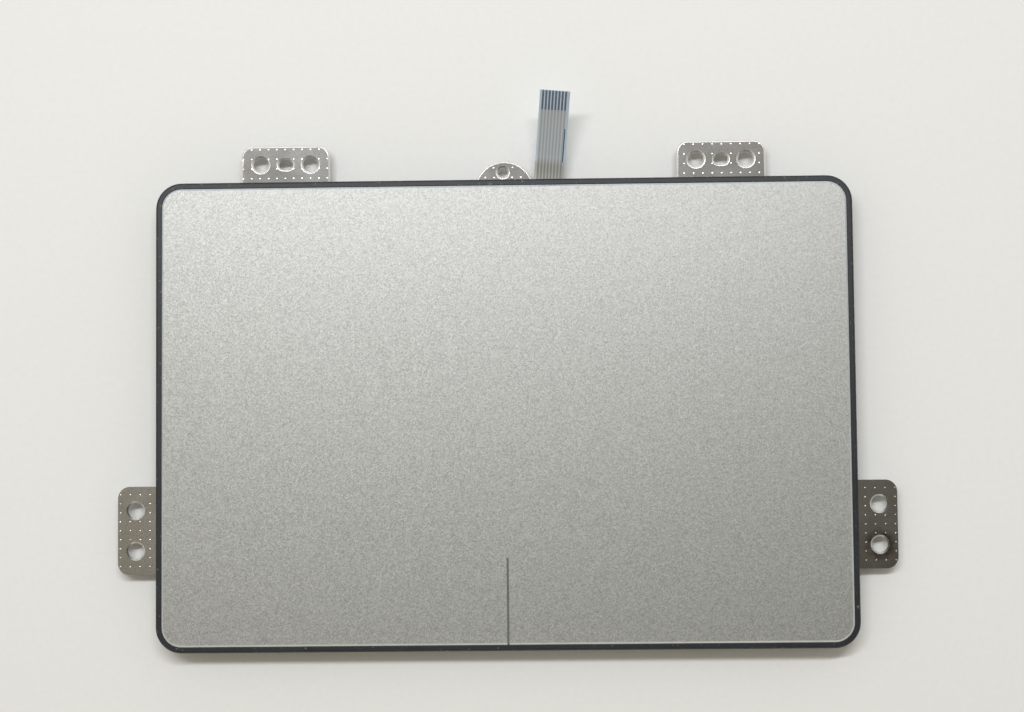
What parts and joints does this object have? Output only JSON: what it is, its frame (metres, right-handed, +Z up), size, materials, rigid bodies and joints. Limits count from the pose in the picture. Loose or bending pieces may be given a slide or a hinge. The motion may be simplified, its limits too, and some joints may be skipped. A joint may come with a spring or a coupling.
{
  "type": "trackpad module",
  "caption": "Laptop click trackpad: a sprung silver touch plate in a black rim over a stamped steel bracket with drilled tabs, a tact switch and a flat ribbon cable.",
  "frame": {"origin": "middle of the module's footprint without the ribbon cable, on the surface that it lies on", "axes": "+X to the user's right along the long edge, +Y towards the ribbon cable, +Z up out of the touch surface"},
  "size_m": [0.1194, 0.0851, 0.0077],
  "materials": {
    "bracket_steel": "stamped stainless sheet, dimpled on the tabs",
    "spring_steel": "bright rolled spring steel",
    "rivet_steel": "plain set rivet heads",
    "screw_steel": "black oxide",
    "damper_foam": "closed-cell foam",
    "rim_black": "fine matt moulding",
    "board_mask": "green solder mask",
    "film": "clear transfer adhesive",
    "sheet_silver": "silver sparkle paint under a satin coat, polished edge",
    "tape": "amber bonding tape",
    "chip_black": "moulded epoxy",
    "tin": "matt tin",
    "ceramic": "chip ceramic with tinned ends",
    "resistor": "black glaze with tinned ends",
    "housing_ivory": "heat-resistant moulding",
    "latch_brown": "dark moulding",
    "gold": "gold flash",
    "switch_black": "moulded base",
    "plunger_white": "moulded plunger",
    "ribbon": "clear laminate over flat tinned conductors",
    "stiffener_blue": "pale blue film"
  },
  "bodies": {
    "bracket": {"support_bracket": "bracket_steel", "hinge_leaf_left": "spring_steel", "hinge_leaf_right": "spring_steel", "leaf_rivet_1": "rivet_steel", "leaf_rivet_2": "rivet_steel", "leaf_rivet_3": "rivet_steel", "leaf_rivet_4": "rivet_steel", "strike_screw": "screw_steel", "click_damper_left": "damper_foam", "click_damper_right": "damper_foam"},
    "pad": {"rim_frame": "rim_black", "sensor_board": "board_mask", "sheet_adhesive": "film", "touch_sheet": "sheet_silver", "hinge_tape_left": "tape", "hinge_tape_right": "tape", "touch_controller": "chip_black", "controller_terminals": "tin", "voltage_regulator": "chip_black", "regulator_leads": "tin", "chip_capacitors": "ceramic", "chip_resistors": "resistor", "connector_housing": "housing_ivory", "connector_contacts": "gold", "connector_hold_downs": "tin", "switch_base": "switch_black", "switch_dome": "spring_steel", "switch_cover": "spring_steel", "switch_terminals": "gold", "ffc_ribbon": "ribbon", "ffc_stiffener": "stiffener_blue", "ffc_contacts": "tin"},
    "latch": {"connector_latch": "latch_brown"},
    "plunger": {"switch_plunger": "plunger_white"}
  },
  "joints": [
    {"name": "click_hinge", "type": "hinge", "parent": "bracket", "child": "pad", "pos_m": [0, 0.02375, 0.00267], "axis": [1, 0, 0], "range_deg": [0, 0.2], "stiffness_Nm_per_rad": 1, "springref_deg": -1.72},
    {"name": "plunger_travel", "type": "slide", "parent": "pad", "child": "plunger", "axis": [0, 0, 1], "range_m": [0, 0.0002], "deforming": ["switch_dome"]},
    {"name": "latch_flip", "type": "hinge", "parent": "pad", "child": "latch", "pos_m": [0.00475, 0.00593, 0.0025], "axis": [1, 0, 0], "range_deg": [0, 90]}
  ],
  "couplings": [
    {"joint": "plunger_travel", "follows": "click_hinge", "m_per_rad": 0.0547}
  ]
}
